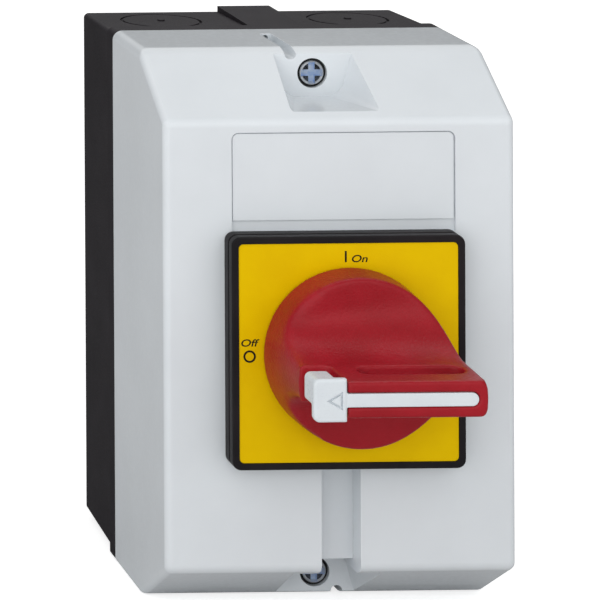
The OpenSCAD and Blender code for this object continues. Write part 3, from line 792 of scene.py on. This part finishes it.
round_edges(cover, rim_r, 3, on_groove)
wire_r, wire_rise = 0.8, 0.6
wire_z = groove_bed + wire_r + 0.1
wire_run = [(wire_r, joint - 1), (wire_r, groove_back + 1)]
for lifted in (0, wire_rise / 2, wire_rise):
    both_ends(cover, turned_body("wire_hole", groove_x, wire_z + lifted, wire_run, 24), "DIFFERENCE")
hole_r, well_r, head_seat = 2.2, 3.95, pad - 3.4
screw_hole = turned_body("screw_hole", 0, screw_z, [(hole_r, joint - 1), (hole_r, pad + 1)])
both_ends(cover, screw_hole, "DIFFERENCE")
both_ends(cover, turned_body("well", 0, screw_z, [(well_r, head_seat), (well_r, pad + 1)]), "DIFFERENCE")
neck_hole_r = 11.25
neck_hole = turned_body("neck_hole", 0, 0, [(neck_hole_r, face - wall - 1), (neck_hole_r, face + 1)])
combine(cover, neck_hole, "DIFFERENCE")
smooth(cover, 30)
# Light grey polycarbonate, polished mould: pale, cool and even, with a soft gloss and a faint ripple.
grey_polycarbonate = moulded(
    "grey_polycarbonate", "#e0e5e9", "#dce1e5",
    flow_mm=30, grain_mm=1.2, relief_mm=0.001, rough=0.2, shine=0.25,
)
fit(cover, grey_polycarbonate, "enclosure", "light_grey_plastic", "cover")


# Label insert: a thin plate in the cover's recess that takes a written label. It is cut from the same grey
# polycarbonate, with two round corners, and a hairline gap shows all round it.
insert_gap, insert_t, insert_low = 0.3, 0.6, 32.5
insert_edge_r = 0.12
insert = block(
    "label_insert_plate",
    (label_x - label_w / 2 + insert_gap, face - label_deep, insert_low),
    (label_x + label_w / 2 - insert_gap, face - label_deep + insert_t, label_top - insert_gap),
)
round_edges(
    insert, label_r - insert_gap, 5, lambda edge: along(edge, 1) and middle_of(edge).z > label_top - 1
)
insert_middle = face - label_deep + insert_t / 2
round_edges(insert, insert_edge_r, 2, lambda edge: sharp(edge) and middle_of(edge).y > insert_middle)
smooth(insert, 35)
fit(insert, grey_polycarbonate, "enclosure", "light_grey_plastic", "label_insert")


# Cover screws: two steel machine screws with a cheese head and a cross recess, zinc plated. Each stands in a
# round well in its pad, with a dark rubber ring round its head as painted shade for the gap there, and
# reaches back into the tray.
screw_low, screw_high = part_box("cover_screws")
head_r, shank_r = screw_high.x / MM, 2.0
head_top = -screw_low.y / MM
dish_r, dish_deep = 2.7, 0.35
point = -screw_high.y / MM
screw = turned_body(
    "cover_screw_top",
    0,
    screw_z,
    [(shank_r - 0.8, point), (shank_r, point + 1), (shank_r, head_seat), (head_r, head_seat)]
    + [(head_r, head_top - 0.45), (head_r - 0.15, head_top - 0.12), (head_r - 0.4, head_top)]
    + [(dish_r, head_top), (dish_r - 0.2, head_top - dish_deep)],
    48,
)
arm_long, arm_wide, arm_deep, arm_taper = 6.6, 2.0, 1.2, 0.75
for turn in (0, 90):
    arm = block(
        "arm",
        (-arm_long / 2, head_top - arm_deep, -arm_wide / 2),
        (arm_long / 2, head_top + 1, arm_wide / 2),
    )
    edit(arm, "VERT")
    pick(arm, lambda x, depth, z: depth < head_top)
    bpy.ops.transform.resize(value=(arm_taper, 1, arm_taper))
    done()
    arm.data.transform(Matrix.Translation(at(0, 0, screw_z)) @ Matrix.Rotation(math.radians(turn), 4, "Y"))
    combine(screw, arm, "DIFFERENCE")
dish_floor, screw_edge_r = head_top - dish_deep, 0.08
round_edges(screw, screw_edge_r, 2, lambda edge: sharp(edge, 35) and middle_of(edge).y > dish_floor - 0.1)
smooth(screw, 40)
# Zinc plating painted dark as shade: a dark grey with darker clouds on the head's top and between the cross
# arms, where shadow and dark reflections fall; its rim is painted bright.
zinc_painted_shade = metal(
    "zinc_plate_painted_shade", "#6d727c", "#4f545d",
    patch_mm=1.5, line_mm=0.3, relief_mm=0.004, rough=0.25,
)
# Blue passivated zinc in the cross recess: pale blue, with a near white tone painted in as light so that the
# cross shows bright.
blue_zinc_painted_light = metal(
    "blue_zinc_plate_painted_light", "#ffffff", "#8ab8ee",
    patch_mm=1.1, line_mm=0.5, relief_mm=0.03, rough=0.6,
)
# Zinc plating painted near white on the rim of the head: a pale grey painted highlight for the gleam on its
# rounded edge.
zinc_painted_highlight = metal(
    "zinc_plate_painted_highlight", "#f2f3f5", "#cfd3d9",
    patch_mm=1.5, line_mm=0.3, relief_mm=0.004, rough=0.55,
)
for finish in (zinc_painted_shade, blue_zinc_painted_light, zinc_painted_highlight):
    screw.data.materials.append(finish)
# Faces on the head's rim take the painted highlight, the floors of the cross recess the painted light, and
# the rest the painted shade.
for part in screw.data.polygons:
    spot = part.center / MM
    depth, radius = -spot.y, math.hypot(spot.x, spot.z - screw_z)
    if depth > head_top - 0.6 and radius > dish_r - 0.15:
        part.material_index = 2
    elif head_top - arm_deep - 0.1 < depth < dish_floor - 0.05 and radius < arm_long / 2:
        part.material_index = 1
for piece in (screw, moved_copy("cover_screw_bottom", screw, HALF_TURN)):
    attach(piece, "enclosure")
    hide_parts("cover_screws")

# The dark rubber ring is painted shade: it fills the gap round each head, where only shadow falls.
seal_top, seal_gap = -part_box("cover_screw_seals")[0].y / MM, 0.05
seal = turned_body(
    "cover_screw_shade_ring_top",
    0,
    screw_z,
    [(well_r - seal_gap, head_seat), (well_r - seal_gap, seal_top - 0.3), (well_r - 0.35, seal_top)],
    48,
)
core_r = head_r + seal_gap
core = turned_body("core", 0, screw_z, [(core_r, head_seat - 1), (core_r, seal_top + 1)], 48)
combine(seal, core, "DIFFERENCE")
smooth(seal, 30)
for piece in (seal, moved_copy("cover_screw_shade_ring_bottom", seal, HALF_TURN)):
    fit(piece, seal_rubber, "enclosure", "rubber", "cover_screw_seals")


# Plate, rear layer: a square black moulding that lies on the cover, with a neck that passes through the
# cover and takes a nut behind it. Moulded in polyamide with a fine stippled skin.
rear_low, rear_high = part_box("bezel_rear")
plate_half = rear_high.x / MM
neck_back, split = -rear_high.y / MM, -rear_low.y / MM
neck_r, bore_r, plate_r = 11.1, 7.05, 2.3
plate_edge_r = 0.45
rear = block("plate_rear", (-plate_half, face, -plate_half), (plate_half, split, plate_half))
round_edges(rear, plate_r, 6, lambda edge: along(edge, 1))
round_edges(rear, plate_edge_r, 3, sharp)
combine(rear, turned_body("neck", 0, 0, [(neck_r, neck_back), (neck_r, face + 1)]), "UNION")
combine(rear, turned_body("bore", 0, 0, [(bore_r, neck_back - 1), (bore_r, split + 1)]), "DIFFERENCE")
seal_r, seal_back, seal_t = 9.0, 79.5, 3
seal_room = turned_body("seal_room", 0, 0, [(seal_r, seal_back), (seal_r, seal_back + seal_t)])
combine(rear, seal_room, "DIFFERENCE")
ring_low, ring_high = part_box("bezel_seal_ring")
ring_room_r, ring_core_r, ring_front = ring_high.x / MM + 0.1, 13.9, 0.1 - ring_low.y / MM
ring_room = turned_body("ring_room", 0, 0, [(ring_room_r, face - 1), (ring_room_r, ring_front)])
ring_core = turned_body("ring_core", 0, 0, [(ring_core_r, face - 2), (ring_core_r, ring_front + 1)])
combine(ring_room, ring_core, "DIFFERENCE")
combine(rear, ring_room, "DIFFERENCE")
smooth(rear, 35)
# Black polyamide, stippled mould: near black and matt, with small specks that catch the lamp.
stippled_black = moulded(
    "stippled_black_polyamide", "#282426", "#201e20",
    flow_mm=14, grain_mm=0.3, relief_mm=0.015, rough=0.42, shine=0.1,
)
fit(rear, stippled_black, "enclosure", "black_plastic", "bezel_rear")
dress(nodes["bezel_nut"], stippled_black)


# Plate, front layer: the black frame round the legend, of the same stippled polyamide. It snaps onto the
# rear layer with a shadow line between them, and has a window for the legend and an opening for the handle.
plate_front = -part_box("bezel_front")[0].y / MM
line_deep, line_t = 0.8, 0.3
frame_w, window_r, window_edge_r, legend_deep = 1.8, 1.2, 0.2, 1.0
opening_r = 18
front = block(
    "plate_frame", (-plate_half, split + line_t, -plate_half), (plate_half, plate_front, plate_half)
)
round_edges(front, plate_r, 6, lambda edge: along(edge, 1))
round_edges(front, plate_edge_r, 3, sharp)
window_half = plate_half - frame_w
window = block(
    "window",
    (-window_half, plate_front - legend_deep, -window_half),
    (window_half, plate_front + 1, window_half),
)
round_edges(window, window_r, 5, lambda edge: along(edge, 1))
combine(front, window, "DIFFERENCE")
round_edges(
    front,
    window_edge_r,
    2,
    lambda edge: sharp(edge, 60) and abs(middle_of(edge).y - plate_front) < 0.05,
)
inner_half = plate_half - line_deep
shadow_line = block(
    "shadow_line", (-inner_half, split, -inner_half), (inner_half, split + line_t + 0.2, inner_half)
)
round_edges(shadow_line, plate_r, 6, lambda edge: along(edge, 1))
combine(front, shadow_line, "UNION")
combine(
    front,
    turned_body("opening", 0, 0, [(opening_r, split - 1), (opening_r, plate_front + 1)], 96),
    "DIFFERENCE",
)
smooth(front, 35)
fit(front, stippled_black, "enclosure", "black_plastic", "bezel_front")


# Legend: a yellow laminate plate that lies in the frame's window, die cut with a hole under the handle. Its
# marks are screen printed in black ink: a bar and a ring, with the words for on and off.
legend_low, legend_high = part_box("legend_plate")
legend_half = legend_high.x / MM
legend_back, legend_front = -legend_high.y / MM, -legend_low.y / MM
legend = block(
    "legend", (-legend_half, legend_back, -legend_half), (legend_half, legend_front, legend_half)
)
round_edges(legend, window_r, 5, lambda edge: along(edge, 1))
combine(
    legend,
    turned_body("hole", 0, 0, [(opening_r, legend_back - 1), (opening_r, legend_front + 1)], 96),
    "DIFFERENCE",
)
cut_edge_r = 0.08
round_edges(legend, cut_edge_r, 2, lambda edge: sharp(edge) and middle_of(edge).y > legend_front - 0.05)
smooth(legend, 35)
# Yellow laminate, calendered: a strong even yellow with a satin skin and a faint orange peel.
yellow_laminate = moulded(
    "yellow_laminate", "#ebc400", "#e5bc00",
    flow_mm=18, grain_mm=0.6, relief_mm=0.002, rough=0.4, shine=0.05,
)
fit(legend, yellow_laminate, "enclosure", "yellow_laminate", "legend_plate")

ink_t = 0.03
letter_h, letter_slant, letter_weight, letter_widen = 1.9, 0.2, 0.012, 1.25


def word(text, x, z):
    """A slanted word in ink, about its middle."""
    bpy.ops.object.select_all(action="DESELECT")
    bpy.ops.object.text_add()
    letters = bpy.context.object
    letters.data.body = text
    letters.data.shear = letter_slant
    letters.data.offset = letter_weight
    letters.data.extrude = 0.01
    bpy.ops.object.convert(target="MESH")
    letters = bpy.context.object
    edit(letters)
    bpy.ops.mesh.select_all(action="SELECT")
    bpy.ops.mesh.remove_doubles(threshold=0.0001)
    done()
    spots = [vert.co.copy() for vert in letters.data.vertices]
    lowest = Vector([min(spot[axis] for spot in spots) for axis in range(3)])
    highest = Vector([max(spot[axis] for spot in spots) for axis in range(3)])
    grow = letter_h * MM / (highest.y - lowest.y)
    thin = ink_t * MM / (highest.z - lowest.z)
    letters.data.transform(
        Matrix.Translation(at(x, legend_front + ink_t / 2, z))
        @ Matrix.Rotation(math.pi / 2, 4, "X")
        @ Matrix.Diagonal((letter_widen * grow, grow, thin, 1))
        @ Matrix.Translation(-(lowest + highest) / 2)
    )
    return letters


stroke = 0.5
on_x, on_z, off_x, off_z = 2.9, 24.2, -25.3, 2.8
bar_x, bar_low, bar_high = -0.7, 23.3, 26.2
ring_x, ring_z, ring_r = -25.5, -0.7, 1.6
bar = block(
    "bar", (bar_x - stroke / 2, legend_front, bar_low), (bar_x + stroke / 2, legend_front + ink_t, bar_high)
)
marks = [word("On", on_x, on_z), word("Off", off_x, off_z), bar]
ring = turned_body("ring", ring_x, ring_z, [(ring_r, legend_front), (ring_r, legend_front + ink_t)], 40)
middle_r = ring_r - stroke
middle_rings = [(middle_r, legend_front - 1), (middle_r, legend_front + 1)]
middle = turned_body("middle", ring_x, ring_z, middle_rings, 40)
combine(ring, middle, "DIFFERENCE")
bpy.ops.object.select_all(action="DESELECT")
for piece in marks + [ring]:
    piece.select_set(True)
bpy.context.view_layer.objects.active = ring
bpy.ops.object.join()
ink_marks = bpy.context.object
ink_marks.name = ink_marks.data.name = "legend_marks"
# Black screen ink: flat and dull, a little brown where it is thin.
black_ink = moulded(
    "black_screen_ink", "#1d1a12", "#262010",
    flow_mm=1.5, grain_mm=0.2, relief_mm=0.002, rough=0.6, shine=0.2,
)
fit(ink_marks, black_ink, "enclosure", "black_plastic")


# Handle: the red knob, moulded in polycarbonate. Two hollow faces fall away from a bar that stands across
# it, with a track for the padlock slide and a slot for a shackle, and its stub turns in the plate's neck.
def soften(piece, passes, chosen):
    """Rounds a piece in passes where the test chooses by place, in millimetres."""
    group = piece.vertex_groups.new(name="soft")
    for vert in piece.data.vertices:
        if chosen(vert.co.x / MM, -vert.co.y / MM, vert.co.z / MM):
            group.add([vert.index], 1, "REPLACE")
    change = piece.modifiers.new("soften", "SMOOTH")
    change.factor = 0.5
    change.iterations = passes
    change.vertex_group = group.name
    bpy.context.view_layer.objects.active = piece
    bpy.ops.object.modifier_apply(modifier=change.name)
    piece.vertex_groups.clear()


def blended(piece, cell_mm, passes):
    """Melts a piece's shapes into one skin with soft edges, as a moulding has."""
    bpy.context.view_layer.objects.active = piece
    skin = piece.modifiers.new("skin", "REMESH")
    skin.mode = "VOXEL"
    skin.voxel_size = cell_mm * MM
    bpy.ops.object.modifier_apply(modifier=skin.name)
    soften(piece, passes, lambda x, depth, z: True)
    bpy.ops.object.select_all(action="DESELECT")
    piece.select_set(True)
    bpy.ops.object.shade_smooth()


handle_low, handle_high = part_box("handle")
foot_r, foot_edge = handle_high.x / MM, 0.4
bar_front, stub_back = -handle_low.y / MM, -handle_high.y / MM
handle_back = legend_front + 0.4
grip_r, stub_r = 20.7, 7.0
handle = turned_body(
    "handle_knob",
    0,
    0,
    [(stub_r, stub_back), (stub_r, handle_back), (foot_r - foot_edge, handle_back)]
    + [(foot_r, handle_back + foot_edge), (grip_r, bar_front)],
    128,
)
bar_half, bar_r, bar_spare = 4.5, 2.8, 0.2
splay_x, splay_z = 1.25, 1.8
slot_left, slot_right, slot_back, slot_front = -8, 18.2, 118, 124.6
outline = block(
    "outline",
    (-grip_r - 0.5, slot_back - 1, -bar_half - bar_spare),
    (grip_r - 0.15, bar_front + 0.1, bar_half + bar_spare),
)
round_edges(outline, bar_r, 6, lambda edge: along(edge, 1))
edit(outline, "VERT")
pick(outline, lambda x, depth, z: depth < slot_back)
bpy.ops.transform.resize(value=(splay_x, 1, splay_z), center_override=at(0, slot_back - 1, 0))
done()
drum = turned_body("drum", 0, 0, [(foot_r + 1, stub_back - 1), (foot_r + 1, slot_back + 0.4)])
combine(outline, drum, "UNION")
combine(handle, outline, "INTERSECT")

ledge, scoop_narrow = 101.8, 0.49
scoop_rise = slot_back - 0.8 - ledge
scoop = block("scoop", (-foot_r, ledge, bar_half), (foot_r, bar_front + 1, foot_r + 2))
round_edges(
    scoop,
    scoop_rise,
    18,
    lambda edge: along(edge, 0) and middle_of(edge).y < ledge + 1 and middle_of(edge).z < bar_half + 1,
)
edit(scoop, "VERT")
pick(scoop, lambda x, depth, z: x < 0 and z < bar_half + scoop_rise + 0.1)
bpy.ops.transform.resize(value=(1, 1, scoop_narrow), center_override=at(0, 0, bar_half))
bpy.ops.mesh.select_mode(type="EDGE")
mesh = bmesh.from_edit_mesh(scoop.data)
for edge in mesh.edges:
    edge.select_set(edge.verts[0].co.x * edge.verts[1].co.x < 0)
bmesh.update_edit_mesh(scoop.data)
bpy.ops.mesh.subdivide(number_cuts=8)
done()
lower_scoop = moved_copy("lower_scoop", scoop, TOP_TO_BOTTOM)
combine(handle, scoop, "DIFFERENCE")
combine(handle, lower_scoop, "DIFFERENCE")

notch_x, notch_floor, notch_r = -13.7, 117.5, 2.6
notch = block("notch", (-30, notch_floor, -10), (notch_x, bar_front + 5, 10))
round_edges(
    notch,
    notch_r,
    6,
    lambda edge: along(edge, 2) and middle_of(edge).x > -20 and middle_of(edge).y < notch_floor + 1,
)
combine(handle, notch, "DIFFERENCE")
slot = block("slot", (slot_left, slot_back, -8), (slot_right, slot_front, 8))
round_edges(slot, 0.495 * (slot_front - slot_back), 8, lambda edge: along(edge, 2))
combine(handle, slot, "DIFFERENCE")
track_half, track_right, track_floor = 1.75, 18.5, 118.6
track = block("track", (notch_x - 1, track_floor, -track_half), (track_right, bar_front + 1, track_half))
round_edges(track, 0.98 * track_half, 8, lambda edge: along(edge, 1) and middle_of(edge).x > 0)
combine(handle, track, "DIFFERENCE")
shaft_half, shaft_end = 3.05, 90.5
shaft_hole = block(
    "shaft_hole", (-shaft_half, stub_back - 1, -shaft_half), (shaft_half, shaft_end, shaft_half)
)
combine(handle, shaft_hole, "DIFFERENCE")
blended(handle, cell_mm=0.38, passes=9)

rim_in, rim_back, rim_front = 18, ledge - 2.5, slot_back - 3
soften(handle, 30, lambda x, depth, z: rim_back < depth < rim_front and math.hypot(x, z) > rim_in)
crown_in, crown_right, crown_back, crown_front = 14, -10, ledge - 4, notch_floor - 1
soften(
    handle,
    110,
    lambda x, depth, z: crown_back < depth < crown_front and x < crown_right and math.hypot(x, z) > crown_in,
)
# Red polycarbonate, satin mould: deep red with clouded flow bands, a fine grain and a soft pink sheen on its
# edges. Its grain is drawn deeper too than the real one, so that it breaks up the sheen.
red_polycarbonate = moulded(
    "red_polycarbonate", "#a61926", "#981620",
    flow_mm=16, grain_mm=0.6, relief_mm=0.12, rough=0.34, shine=0.25,
)
fit(handle, red_polycarbonate, "handle_and_rotor", "red_plastic", "handle")


# Padlock slide: the white acetal slide that runs in the bar's track. A pull head at its left carries an
# engraved pointer, with a finger grip behind it.
slide_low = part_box("padlock_slide")[0]
slide_front = -slide_low.y / MM
head_left, head_right, head_half, head_t = slide_low.x / MM, -14, 5.35, 1.9
grip_back, grip_right, grip_low = 124, -16.5, -1.4
play = 0.08
blade_half = track_half - play
blade_right = track_right - 0.2
head_corner_r, grip_corner_r, grip_edge_r = 1.6, 1.5, 0.6
slide = block("slide", (head_left, slide_front - head_t, -head_half), (head_right, slide_front, head_half))
round_edges(slide, head_corner_r, 5, lambda edge: along(edge, 1) and middle_of(edge).x < head_left + 1)
round_edges(slide, grip_edge_r, 3, lambda edge: sharp(edge) and middle_of(edge).y > slide_front - 0.1)
grip = block("grip", (head_left, grip_back, grip_low), (grip_right, slide_front - 1, head_half))
round_edges(
    grip,
    grip_corner_r,
    5,
    lambda edge: along(edge, 1) and middle_of(edge).x < grip_right - 1 and middle_of(edge).z > 1,
)
round_edges(grip, grip_edge_r, 3, lambda edge: sharp(edge) and middle_of(edge).y < slide_front - 1.1)
combine(slide, grip, "UNION")
blade = block("blade", (head_left + 5, grip_back, -blade_half), (blade_right, bar_front + 0.05, blade_half))
round_edges(blade, 0.98 * blade_half, 8, lambda edge: along(edge, 1) and middle_of(edge).x > 0)
combine(slide, blade, "UNION")
foot = block("foot", (notch_x + 1, track_floor + 0.2, -blade_half), (blade_right, grip_back + 1, blade_half))
round_edges(foot, 0.98 * blade_half, 8, lambda edge: along(edge, 1) and middle_of(edge).x > 0)
combine(slide, foot, "UNION")
blended(slide, cell_mm=0.2, passes=5)
tip, tail_x, pointer_half, pointer_line, pointer_deep = -19.1, -15.2, 2.3, 0.55, 0.6


def pointer(name, margin, back, front):
    """A triangle that points to the left, smaller by a margin on each side."""
    run = tail_x - tip
    lean = math.hypot(run, pointer_half) / pointer_half
    tip_x, end_x = tip + margin * lean, tail_x - margin
    half = pointer_half * (end_x - tip_x) / run
    piece = block(name, (tip_x, back, -half), (end_x, front, half))
    edit(piece, "VERT")
    pick(piece, lambda x, depth, z: x < tip_x + 0.1)
    bpy.ops.transform.resize(value=(1, 1, 0), center_override=at(tip_x, back, 0))
    bpy.ops.mesh.select_all(action="SELECT")
    bpy.ops.mesh.remove_doubles(threshold=0.01 * MM)
    done()
    return piece


engraving = pointer("engraving", 0, slide_front - pointer_deep, slide_front + 1)
combine(engraving, pointer("island", pointer_line, slide_front - 1, slide_front + 2), "DIFFERENCE")
combine(slide, engraving, "DIFFERENCE")
smooth(slide, 35)
# White acetal, polished mould: a cool white with a soft even gloss.
white_acetal = moulded(
    "white_acetal", "#dfe5e9", "#dae0e5",
    flow_mm=10, grain_mm=0.5, relief_mm=0.001, rough=0.3, shine=0.25,
)
fit(slide, white_acetal, "padlock_slide", "white_plastic", "padlock_slide")
